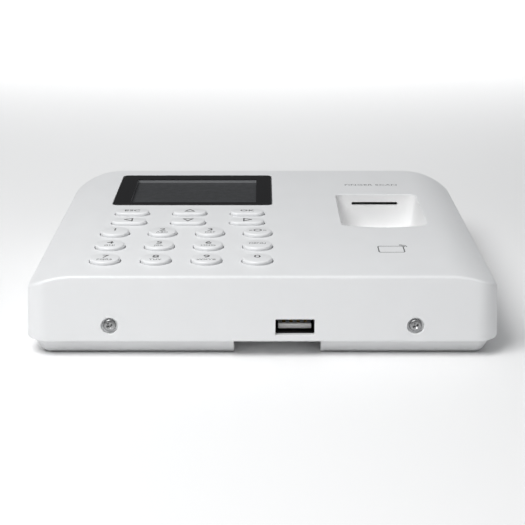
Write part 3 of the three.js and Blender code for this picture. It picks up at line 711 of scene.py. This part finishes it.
def front_cover():
    cavity = cover_body(WALL, WALL, -1.0, 0.4, 0.1).object("cavity")
    boolean(cavity, Solid().loft(scoop_sections(SCOOP_WALL)).object("scoop_shell"))
    cover = cover_body(0.0, 0.0, COVER_FOOT, CREASE, LIP).object("front_cover_moulding")
    boolean(cover, cavity)

    lens_middle, lens_size = middle_of("display_lens"), size_of("display_lens")
    holes = Solid().loft(scoop_sections(0.0))
    holes.loft(
        flared(
            lambda g: rounded(lens_size.x, lens_size.y, LENS_CORNER, g + 0.25, lens_middle.xy, 8),
            HEIGHT, lens_size.z + 0.1, 0.12,
        )
    )
    for node in key_nodes():
        outline = lambda g, n=node: key_outline(n, KEY_CLEARANCE + g)
        holes.loft(flared(outline, HEIGHT, 5.0, KEY_RIM))
    usb, usb_size = middle_of("usb_shell"), size_of("usb_shell")
    mouth_face = -front_face_at(usb.z)
    holes.loft(
        flared(
            lambda g: rounded(usb_size.x - 0.2, usb_size.z - 0.2, 0.3, g, (usb.x, usb.z), 3),
            mouth_face, WALL + 1.0, 0.15,
        ),
        OUT_OF_FRONT,
    )
    for node in ("front_screw_left", "front_screw_right"):
        at = middle_of(node)
        holes.loft(
            flared(
                lambda g, p=at: circle(RECESS_RADIUS + g, 40, (p.x, p.z)), mouth_face, RECESS_DEPTH, 0.2
            ),
            OUT_OF_FRONT,
        )
    cover = boolean(cover, holes.object("holes"))

    window = rounded(VIEW_SIZE[0] + 3, VIEW_SIZE[1] + 3, 0.6, 0, VIEW_MIDDLE)
    second = Solid().prism(window, 20, HEIGHT - 1)
    pocket = rounded(GLASS[0], GLASS[1], 0.8 - GLASS_POCKET, GLASS_POCKET)
    second.prism(pocket, -6, 2, on_ramp())
    slot = rounded(SLOT_WIDTH, SLOT_HEIGHT, SLOT_HEIGHT / 2, 0, (SCOOP_X - 0.2, HEIGHT - SLOT_BELOW))
    second.prism(slot, -SCOOP_FAR - SCOOP_WALL - 2, -SCOOP_FAR + 2.5, OUT_OF_FRONT)
    for node in ("front_screw_left", "front_screw_right"):
        at = middle_of(node)
        hole = circle(EAR_HOLE, 20, (at.x, at.z))
        second.prism(hole, -FRONT - 6, -FRONT + 1, OUT_OF_FRONT)
    cover = boolean(cover, second.object("holes"))
    return finish(cover, cover_plastic, stands_for=["front_cover"], smooth=32)


# ---- wall plate --------------------------------------------------------------------------------
def wall_plate():
    top = box("rear_cover")[0].z - PLATE_GAP
    slope = (PLINTH_INSET_BOTTOM - PLINTH_INSET_TOP) / top
    edge = bend(
        Vector((PLINTH_INSET_BOTTOM + PLINTH_EDGE, 0.0)),
        Vector((PLINTH_INSET_BOTTOM, 0.0)),
        Vector((PLINTH_INSET_BOTTOM - slope * PLINTH_EDGE, PLINTH_EDGE)),
        5,
    )
    profile = [*edge, Vector((PLINTH_INSET_TOP, top))]
    plate = Solid().loft([(cover_outline(p.x), p.y) for p in profile]).object("wall_plate_moulding")
    inner = cover_outline(PLINTH_INSET_BOTTOM + PLINTH_WALL)
    boolean(plate, Solid().prism(inner, PLATE_FLOOR, HEIGHT).object("hollow"))

    well = box("network_jack")[0].y
    front_middle, front_width = sum(NOTCH) / 2, NOTCH[1] - NOTCH[0]
    notch_middle = (front_middle, well + NOTCH_BACK - NOTCH_LENGTH / 2)
    notch = rounded(front_width, NOTCH_LENGTH, 0.8, 0, notch_middle)
    boolean(plate, Solid().prism(notch, -1, HEIGHT).object("notch"))
    room = rounded(*CABLE_ROOM, 1.5, 0, (CABLE_ROOM_X, well + CABLE_ROOM_Y))
    boolean(plate, Solid().prism(room, -1, HEIGHT).object("room"))
    holes = Solid()
    for x, y in WALL_HOLES:
        sink = [(WALL_HOLE, -1.0), (WALL_HOLE, 1.0), (WALL_HOLE_SINK, 2.05), (WALL_HOLE_SINK, 6.0)]
        holes.turned(sink, 28, Matrix.Translation((x, y, 0)))
    boolean(plate, holes.object("holes"))
    screw = middle_of("front_screw_right")
    ear_y = front_face_at(0) + WALL + EAR_CLEARANCE + EAR_THICKNESS / 2
    for side in (-1, 1):
        ear = rounded(EAR_WIDTH, EAR_THICKNESS, 0.4, 0, (side * screw.x, ear_y), 4)
        boolean(plate, Solid().prism(ear, top - 1, screw.z + EAR_ABOVE).object("ear"), "UNION")
        hole = circle(EAR_HOLE, 24, (side * screw.x, screw.z))
        boolean(plate, Solid().prism(hole, -ear_y - 3, -ear_y + 3, OUT_OF_FRONT).object("hole"))
        arm = rounded(HOOK_WIDTH, HOOK_THICKNESS, 0.3, 0, (side * HOOK_X, HOOK_Y), 3)
        lip = rounded(HOOK_WIDTH, HOOK_LIP, 0.3, 0, (side * HOOK_X, HOOK_Y + HOOK_LIP_BACK), 3)
        boolean(plate, Solid().prism(arm, HOOK_FOOT, HOOK_LIP_Z[0] + 1).object("arm"), "UNION")
        boolean(plate, Solid().prism(lip, *HOOK_LIP_Z).object("lip"), "UNION")
    plate = soften(plate, 0.3, 2, 50)
    return finish(plate, plinth_plastic, stands_for=["wall_plate"], smooth=40)


# ---- keys --------------------------------------------------------------------------------------
def crown(node, top, depth_in):
    """Height of a key's crowned top, depth_in from its edge."""
    _, width, depth, _ = key_shape(node)
    reach = min(width, depth) / 2
    left = 1 - min(max(depth_in, 0.0) / reach, 1.0)
    return top - KEY_CROWN * left**2


def key_cap(node):
    low, high = box(node)
    top = high.z
    flange_top = low.z + 1.2
    rim_height = crown(node, top, KEY_EDGE)
    sections = [(key_outline(node, KEY_FLANGE), low.z), (key_outline(node, KEY_FLANGE), flange_top)]
    sections.append((key_outline(node, 0.0), flange_top))
    round_over = bend(
        Vector((0.0, rim_height - KEY_EDGE)), Vector((0.0, rim_height + 0.06)),
        Vector((-KEY_EDGE, rim_height)), 6,
    )
    sections += [(key_outline(node, p.x), p.y) for p in round_over]
    _, width, depth, _ = key_shape(node)
    reach = min(width, depth) / 2
    steps = 7
    for i in range(1, steps):
        depth_in = KEY_EDGE + (reach - KEY_EDGE) * i / steps
        sections.append((key_outline(node, -depth_in), crown(node, top, depth_in)))
    cap = Solid().loft(sections).object(node + "_cap")
    return finish(cap, key_plastic, node, [node])


LETTERS = {
    "2": "ABC", "3": "DEF", "4": "GHI", "5": "JKL", "6": "MNO", "7": "PQRS", "8": "TUV", "9": "WXYZ",
}
WORDS = {"esc": "ESC", "ok": "OK", "menu": "MENU"}
ARROWS = {"up": 90, "left": 180, "down": -90, "right": 0}


def lettering(text, size, middle, stretch=1.0):
    """Points and faces of a line of plain letters about a middle, in (u, v), one unit thick."""
    curve = bpy.data.curves.new("letters", "FONT")
    curve.body = text
    curve.size = size
    curve.align_x = "CENTER"
    curve.align_y = "CENTER"
    curve.extrude = 0.5
    curve.resolution_u = 3
    holder = bpy.data.objects.new("letters", curve)
    bpy.context.scene.collection.objects.link(holder)
    bpy.context.view_layer.update()
    evaluated = holder.evaluated_get(bpy.context.evaluated_depsgraph_get())
    mesh = bpy.data.meshes.new_from_object(evaluated)
    points = [(middle[0] + v.co.x * stretch, middle[1] + v.co.y, v.co.z) for v in mesh.vertices]
    faces = [list(p.vertices) for p in mesh.polygons]
    bpy.data.objects.remove(holder)
    return points, faces


def stroke(marks, start, end, width):
    """Adds a straight printed line, in short steps so that it can follow a curved top."""
    along = (end - start).normalized()
    across = Vector((-along.y, along.x, 0.0))
    place = Matrix((across, (0.0, 0.0, 1.0), along)).transposed().to_4x4()
    place.translation = start
    outline = [(-width / 2, -0.5), (width / 2, -0.5), (width / 2, 0.5), (-width / 2, 0.5)]
    length, steps = (end - start).length, 8
    marks.loft([(outline, -width / 2 + (length + width) * i / steps) for i in range(steps + 1)], place)


def key_mark(node):
    """The printed sign on a key, laid on its crowned top."""
    name = node.removeprefix("key_")
    middle, width, depth, _ = key_shape(node)
    top = box(node)[1].z
    marks = Solid()
    if name in ARROWS:
        turn = Matrix.Rotation(math.radians(ARROWS[name]), 4, "Z")
        place = Matrix.Translation((middle.x, middle.y, 0)) @ turn
        corners = [Vector((1.7, 0.0, 0.0)), Vector((-1.1, 1.75, 0.0)), Vector((-1.1, -1.75, 0.0))]
        for start, end in zip(corners, corners[1:] + corners[:1]):
            stroke(marks, place @ start, place @ end, 0.45)
    elif name == "back":
        outer, inner = circle(1.5, 28), circle(1.1, 28)
        place = Matrix.Translation((middle.x, middle.y, 0))
        marks.loft([(outer, -0.5), (outer, 0.5), (inner, 0.5), (inner, -0.5)], place)
        for side in (-1, 1):
            marks.prism(rounded(1.3, 0.42, 0.1, 0, (side * 2.5, 0)), -0.5, 0.5, place)
    elif name in WORDS:
        marks.add(*lettering(WORDS[name], 1.9 if name == "menu" else 3.2, middle.xy, 1.15))
    else:
        marks.add(*lettering(name, 4.4, (middle.x, middle.y + 0.8), 1.15))
        if name in LETTERS:
            marks.add(*lettering(LETTERS[name], 1.6, (middle.x, middle.y - 2.4), 1.4))
    for p in marks.points:
        off_x = max(abs(p.x - middle.x) - (width - depth) / 2, 0.0)
        depth_in = depth / 2 - math.hypot(off_x, p.y - middle.y)
        p.z = crown(node, top, depth_in) + (KEY_MARK_RISE if p.z > 0 else -0.08)
    return finish(marks.object(node + "_mark"), mark_ink, body=node)


# ---- display -----------------------------------------------------------------------------------
def display():
    low, high = box("display_lens")
    middle, size = middle_of("display_lens"), size_of("display_lens")
    edge = 0.12

    def outer(grow):
        return rounded(size.x, size.y, LENS_CORNER, grow, middle.xy, 8)

    def view(grow):
        return rounded(*VIEW_SIZE, 0.5, grow, VIEW_MIDDLE, 8)

    border = Solid().ring(
        [
            (view(0.6), low.z), (outer(0.0), low.z), (outer(0.0), high.z - edge),
            (outer(-edge), high.z), (view(0.05), high.z), (view(0.0), high.z - 0.05),
            (view(0.0), high.z - 0.25), (view(0.6), high.z - 0.25),
        ]
    )
    finish(border.object("lens_border"), printed_black(), stands_for=["display_lens"])

    pane = Solid().prism(view(-0.02), high.z - 0.22, high.z - 0.06)
    finish(pane.object("lens_pane"), clear_window())

    panel_top = box("lcd_panel")[1].z + 0.02
    gasket_top = high.z - 0.27
    corners = ((0.2, panel_top), (0.58, panel_top), (0.58, gasket_top), (0.2, gasket_top))
    gasket = Solid().ring([(view(grow), z) for grow, z in corners])
    finish(gasket.object("display_gasket"), gasket_foam)


# ---- finger sensor -----------------------------------------------------------------------------
def sensor():
    width, length, thickness = GLASS
    edge, top = 0.35, -0.1
    outline = lambda grow: rounded(width, length, 0.8, grow, (0, 0), 5)
    glass = [
        (outline(-0.05), top - thickness), (outline(0.0), top - thickness + 0.05),
        (outline(0.0), top - edge), (outline(-edge * 0.3), top - edge * 0.3), (outline(-edge), top),
    ]
    finish(Solid().loft(glass, on_ramp()).object("sensor_prism"), dark_glass,
           stands_for=["sensor_glass"])


# ---- repeated parts ----------------------------------------------------------------------------
def grid_tree():
    """Copies of a part at the points of a level grid, made real and given a finish."""
    tree = bpy.data.node_groups.new("part_grid", "GeometryNodeTree")
    inputs = (
        ("Part", "NodeSocketObject"), ("Columns", "NodeSocketInt"), ("Rows", "NodeSocketInt"),
        ("Size X", "NodeSocketFloat"), ("Size Y", "NodeSocketFloat"), ("Middle", "NodeSocketVector"),
        ("Finish", "NodeSocketMaterial"),
    )
    for name, kind in inputs:
        tree.interface.new_socket(name, in_out="INPUT", socket_type=kind)
    tree.interface.new_socket("Geometry", in_out="OUTPUT", socket_type="NodeSocketGeometry")
    node = tree.nodes.new
    given, out = node("NodeGroupInput"), node("NodeGroupOutput")
    grid, move = node("GeometryNodeMeshGrid"), node("GeometryNodeTransform")
    part, copies = node("GeometryNodeObjectInfo"), node("GeometryNodeInstanceOnPoints")
    real, painted = node("GeometryNodeRealizeInstances"), node("GeometryNodeSetMaterial")
    for source, target in (
        (given.outputs["Columns"], grid.inputs["Vertices X"]),
        (given.outputs["Rows"], grid.inputs["Vertices Y"]),
        (given.outputs["Size X"], grid.inputs["Size X"]),
        (given.outputs["Size Y"], grid.inputs["Size Y"]),
        (grid.outputs["Mesh"], move.inputs["Geometry"]),
        (given.outputs["Middle"], move.inputs["Translation"]),
        (move.outputs["Geometry"], copies.inputs["Points"]),
        (given.outputs["Part"], part.inputs["Object"]),
        (part.outputs["Geometry"], copies.inputs["Instance"]),
        (copies.outputs["Instances"], real.inputs["Geometry"]),
        (real.outputs["Geometry"], painted.inputs["Geometry"]),
        (given.outputs["Finish"], painted.inputs["Material"]),
        (painted.outputs["Geometry"], out.inputs["Geometry"]),
    ):
        tree.links.new(source, target)
    return tree


PART_GRID = grid_tree()


def grid_of(name, part, counts, pitch, middle, material):
    """An object of equal parts on a grid; sizes in millimetres."""
    made = bpy.data.objects.new(name, bpy.data.meshes.new(name))
    bpy.context.scene.collection.objects.link(made)
    modifier = made.modifiers.new("grid", "NODES")
    modifier.node_group = PART_GRID
    values = {
        "Part": part, "Columns": counts[0], "Rows": counts[1],
        "Size X": pitch[0] * (counts[0] - 1) * MM, "Size Y": pitch[1] * (counts[1] - 1) * MM,
        "Middle": [c * MM for c in middle], "Finish": material,
    }
    for item in PART_GRID.interface.items_tree:
        if item.in_out == "INPUT":
            modifier[item.identifier] = values[item.name]
    baked(made)
    bpy.data.objects.remove(part)
    return made


# ---- screws ------------------------------------------------------------------------------------
def cross_screw(head, height, shank, length, place):
    """A pan-head screw with a cross recess; w runs out of its head and is zero under the head."""
    profile = [(shank * 0.6, -length), (shank, -length + 1.0), (shank, 0.0), (head, 0.0)]
    profile.append((head, height * 0.35))
    for angle in (25, 45, 65, 80):
        turn = math.radians(angle)
        radius = head * (0.45 + 0.55 * math.cos(turn))
        profile.append((radius, height * (0.35 + 0.65 * math.sin(turn))))
    screw = Solid().turned(profile, 36, place).object("screw")

    def cross(reach, arm):
        quarter = [(reach, -arm), (reach, arm), (arm, arm)]
        return [
            (x * c - y * s, x * s + y * c)
            for c, s in ((1, 0), (0, 1), (-1, 0), (0, -1))
            for x, y in quarter
        ]

    deep = height * 0.75
    floor, mouth = cross(head * 0.2, head * 0.1), cross(head * 0.62, head * 0.17)
    cut = [(floor, height - deep), (mouth, height + 0.3)]
    return boolean(screw, Solid().loft(cut, place).object("cross"))


def front_screws():
    left, right = middle_of("front_screw_left"), middle_of("front_screw_right")
    seat = front_face_at(left.z) + RECESS_DEPTH - 0.2
    turn = Matrix.Rotation(math.radians(24), 4, "Z")
    screw = cross_screw(FRONT_SCREW_HEAD, 1.0, 1.2, 6.0, OUT_OF_FRONT @ turn)
    middle = ((left.x + right.x) / 2, seat, left.z)
    # The screws' darker steel is painted shade for their recesses.
    pair = grid_of("front_screws", screw, (2, 1), (right.x - left.x, 0), middle, screw_steel)
    finish(pair, None, stands_for=["front_screw_left", "front_screw_right"])


def rear_screws():
    nodes = ["rear_screw_%d" % i for i in (1, 2, 3, 4)]
    corners = [middle_of(n) for n in nodes]
    low, high = box(nodes[0])
    length = high.z - low.z - REAR_HEAD_HEIGHT
    screw = cross_screw(REAR_SCREW_HEAD, REAR_HEAD_HEIGHT, REAR_SCREW_SHANK, length, DOWN)
    middle = (0.0, (corners[0].y + corners[2].y) / 2, low.z + REAR_HEAD_HEIGHT)
    pitch = (corners[1].x - corners[0].x, corners[2].y - corners[0].y)
    four = grid_of("rear_screws", screw, (2, 2), pitch, middle, steel)
    finish(four, None, stands_for=nodes)


# ---- sockets -----------------------------------------------------------------------------------
def data_socket():
    low, high = box("usb_shell")
    middle, size = middle_of("usb_shell"), size_of("usb_shell")
    at = (middle.x, middle.z)
    outer = lambda g: rounded(size.x, size.z, 0.7, g, at, 5)
    inner = lambda g: rounded(size.x - 2 * USB_WALL, size.z - 2 * USB_WALL, 0.45, g, at, 5)
    sections = [
        (outer(-0.1), -high.y), (outer(0.0), -high.y + 0.1), (outer(0.0), -low.y - 0.1),
        (outer(-0.1), -low.y), (inner(0.1), -low.y), (inner(0.0), -low.y - 0.15),
        (inner(0.0), -high.y + USB_WALL),
    ]
    shell = Solid().loft(sections, OUT_OF_FRONT).object("data_socket_shell")
    finish(shell, dark_steel, stands_for=["usb_shell"])

    t_low, t_high = box("usb_tongue")
    blade_middle = middle.z - size.z / 2 + USB_WALL + TONGUE_BELOW + TONGUE_THICKNESS / 2
    blade = lambda g: rounded(TONGUE_WIDTH, TONGUE_THICKNESS, 0.25, g, (middle.x, blade_middle), 4)
    sections = [(blade(0), -t_high.y + 1.0), (blade(0), -t_low.y - 0.3), (blade(-0.25), -t_low.y)]
    tongue = Solid().loft(sections, OUT_OF_FRONT)
    root = rounded(t_high.x - t_low.x, t_high.z - t_low.z, 0.3, 0, at, 3)
    tongue.prism(root, -t_high.y, -t_high.y + 2.0, OUT_OF_FRONT)
    finish(tongue.object("data_socket_tongue"), socket_plastic,
           stands_for=["usb_tongue"])

    strip = Solid().loft(block((-0.55, -4.0, -0.1), (0.55, 4.0, 0.1), 0.1)).object("strip")
    contact_middle = (middle.x, t_low.y + 5.2, blade_middle + TONGUE_THICKNESS / 2)
    contacts = grid_of("data_socket_contacts", strip, (4, 1), (2.4, 0), contact_middle, gold)
    finish(contacts, None)


def network_socket():
    low, high = box("network_jack")
    middle = middle_of("network_jack")
    width, height = high.x - low.x, high.z - low.z
    at = (middle.x, middle.z)
    mouth_width, mouth_height, mouth_depth = JACK_MOUTH
    mouth_at = (middle.x, low.z + JACK_SILL + mouth_height / 2)
    outer = lambda g: rounded(width, height, 0.6, g, at, 4)
    mouth = lambda g: rounded(mouth_width, mouth_height, 0.4, g, mouth_at, 4)
    sections = [
        (outer(-0.2), -high.y), (outer(0), -high.y + 0.2), (outer(0), -low.y - 0.2),
        (outer(-0.2), -low.y), (mouth(0.2), -low.y), (mouth(0), -low.y - 0.3),
        (mouth(0), -low.y - mouth_depth),
    ]
    finish(Solid().loft(sections, OUT_OF_FRONT).object("network_socket_shell"), steel,
           stands_for=["network_jack"])
    pin = Solid().loft(block((-0.25, -4.5, -0.2), (0.25, 4.5, 0.2), 0.1)).object("pin")
    pins_middle = (middle.x, low.y + 7.5, mouth_at[1] + 3.0)
    pins = grid_of("network_socket_pins", pin, (8, 1), (1.02, 0), pins_middle, gold)
    finish(pins, None)


def power_socket():
    low, high = box("dc_jack")
    at = (middle_of("dc_jack").x, middle_of("dc_jack").z)
    width, height = high.x - low.x, high.z - low.z
    body = lambda g: rounded(width, height, 1.0, g, at, 8)
    mouth = lambda r: circle(r, 36, at)
    sections = [
        (body(-0.2), -high.y), (body(0), -high.y + 0.2), (body(0), -low.y - 0.2),
        (body(-0.2), -low.y), (mouth(3.4), -low.y), (mouth(3.2), -low.y - 0.2), (mouth(3.2), -low.y - 10),
        (mouth(1.0), -low.y - 10), (mouth(1.0), -low.y - 1.4), (mouth(0.6), -low.y - 1.0),
    ]
    finish(Solid().loft(sections, OUT_OF_FRONT).object("power_socket"), black_plastic,
           stands_for=["dc_jack"])


# ---- printed marks on the face -----------------------------------------------------------------
def card_mark():
    """A thin card outline with a small wave at its corner."""
    at, width, depth, line = CARD_MARK, 9.2, 7.6, 0.38
    low, high = HEIGHT - 0.06, HEIGHT + 0.02
    outer = rounded(width, depth, 1.0, 0, at, 6)
    inner = rounded(width, depth, 1.0, -line, at, 6)
    marks = Solid().ring([(inner, low), (outer, low), (outer, high), (inner, high)])
    centre = (at[0] + width / 2 - 1.6, at[1] + depth / 2 - 1.0)
    for reach in (2.1, 2.9):
        angles = [math.radians(5 + 80 * i / 8) for i in range(9)]
        arc = [(centre[0] + reach * math.cos(a), centre[1] + reach * math.sin(a)) for a in angles]
        arc += [
            (centre[0] + (reach - 0.4) * math.cos(a), centre[1] + (reach - 0.4) * math.sin(a))
            for a in angles[::-1]
        ]
        marks.prism(arc, low, high)
    finish(marks.object("card_mark"), face_ink)


def face_words():
    """Plain words printed beyond the finger scoop."""
    words = Solid().add(*lettering("FINGER SCAN", 2.6, FACE_WORDS, 1.35))
    for p in words.points:
        p.z = HEIGHT + (0.02 if p.z > 0 else -0.06)
    finish(words.object("face_words"), face_ink)


# ---- the CAD pieces that stay as they are ------------------------------------------------------
def dress_inner_pieces():
    film, cells = ribbon_film(), screen()
    wear = {
        "rear_cover": white_plastic, "lcd_frame": steel, "lcd_panel": cells, "backlight": key_plastic,
        "keypad_membrane": grey_rubber, "keypad_board": board, "sensor_housing": black_plastic,
        "sensor_board": board, "detect_window": dark_glass, "usb_board": board, "main_board": board,
        "processor": black_plastic, "speaker": black_plastic, "cell_holder": black_plastic,
        "coin_cell": steel, "antenna_board": board, "display_ribbon": film, "keypad_ribbon": film,
        "sensor_ribbon": film, "tamper_switch": black_plastic, "tamper_plunger": key_plastic,
    }
    for node, material in wear.items():
        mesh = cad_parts[node].data
        mesh.materials.clear()
        mesh.materials.append(material)


# ---- floor, light and camera -------------------------------------------------------------------
def studio():
    floor = Solid().prism(rounded(8000, 8000, 300, 0, (0, 2500)), -12, 0).object("floor")
    pale = Finish("pale_floor")
    pale.colour(pale.mix(pale.spread(pale.noise(6.0), 0.0, 1.0), grey(0.955), grey(0.965)))
    pale.set(Roughness=0.7, IOR=1.2)
    floor.data.materials.append(pale.material)

    world = bpy.data.worlds.new("studio")
    bpy.context.scene.world = world
    world.use_nodes = True
    tree = world.node_tree
    background = tree.nodes["Background"]
    direction = tree.nodes.new("ShaderNodeTexCoord")
    split = tree.nodes.new("ShaderNodeSeparateXYZ")
    rise = tree.nodes.new("ShaderNodeMapRange")
    rise.interpolation_type = "SMOOTHSTEP"
    for key, value in zip(("From Min", "From Max", "To Min", "To Max"), (0.25, 0.95, 0.08, 0.5)):
        rise.inputs[key].default_value = value
    tree.links.new(direction.outputs["Generated"], split.inputs["Vector"])
    tree.links.new(split.outputs["Z"], rise.inputs["Value"])
    tree.links.new(rise.outputs["Result"], background.inputs["Strength"])
    background.inputs["Color"].default_value = (0.97, 0.985, 1.0, 1)

    soft_light("key_light", (-255, -290, 550), (0, -20, 10), 420, 3.25)
    soft_light("front_light", (700, -1050, 300), (0, 0, 10), 600, 0.55)
    soft_light("far_light", (0, 1200, 1100), (0, 1200, 0), 1250, 9.0, 64)

    camera = bpy.data.objects.new("camera", bpy.data.cameras.new("camera"))
    bpy.context.scene.collection.objects.link(camera)
    camera.data.sensor_width = 36.0
    camera.data.lens = 92.31
    camera.location = (0.0, -490.5 * MM, 163.64 * MM)
    camera.rotation_euler = (math.radians(72.565), 0.0, 0.0)
    camera.data.clip_start = 0.01
    camera.data.clip_end = 50.0
    bpy.context.scene.camera = camera
    bpy.context.scene.view_settings.view_transform = "Standard"


def soft_light(name, place, target, size, power, spread=180):
    light = bpy.data.lights.new(name, "AREA")
    light.shape = "DISK"
    light.size = size * MM
    light.energy = power
    light.spread = math.radians(spread)
    holder = bpy.data.objects.new(name, light)
    bpy.context.scene.collection.objects.link(holder)
    holder.location = Vector(place) * MM
    holder.rotation_euler = (Vector(target) - Vector(place)).to_track_quat("-Z", "Y").to_euler()


dress_inner_pieces()
front_cover()
wall_plate()
for key in key_nodes():
    key_cap(key)
    key_mark(key)
display()
sensor()
front_screws()
rear_screws()
data_socket()
network_socket()
power_socket()
card_mark()
face_words()
studio()
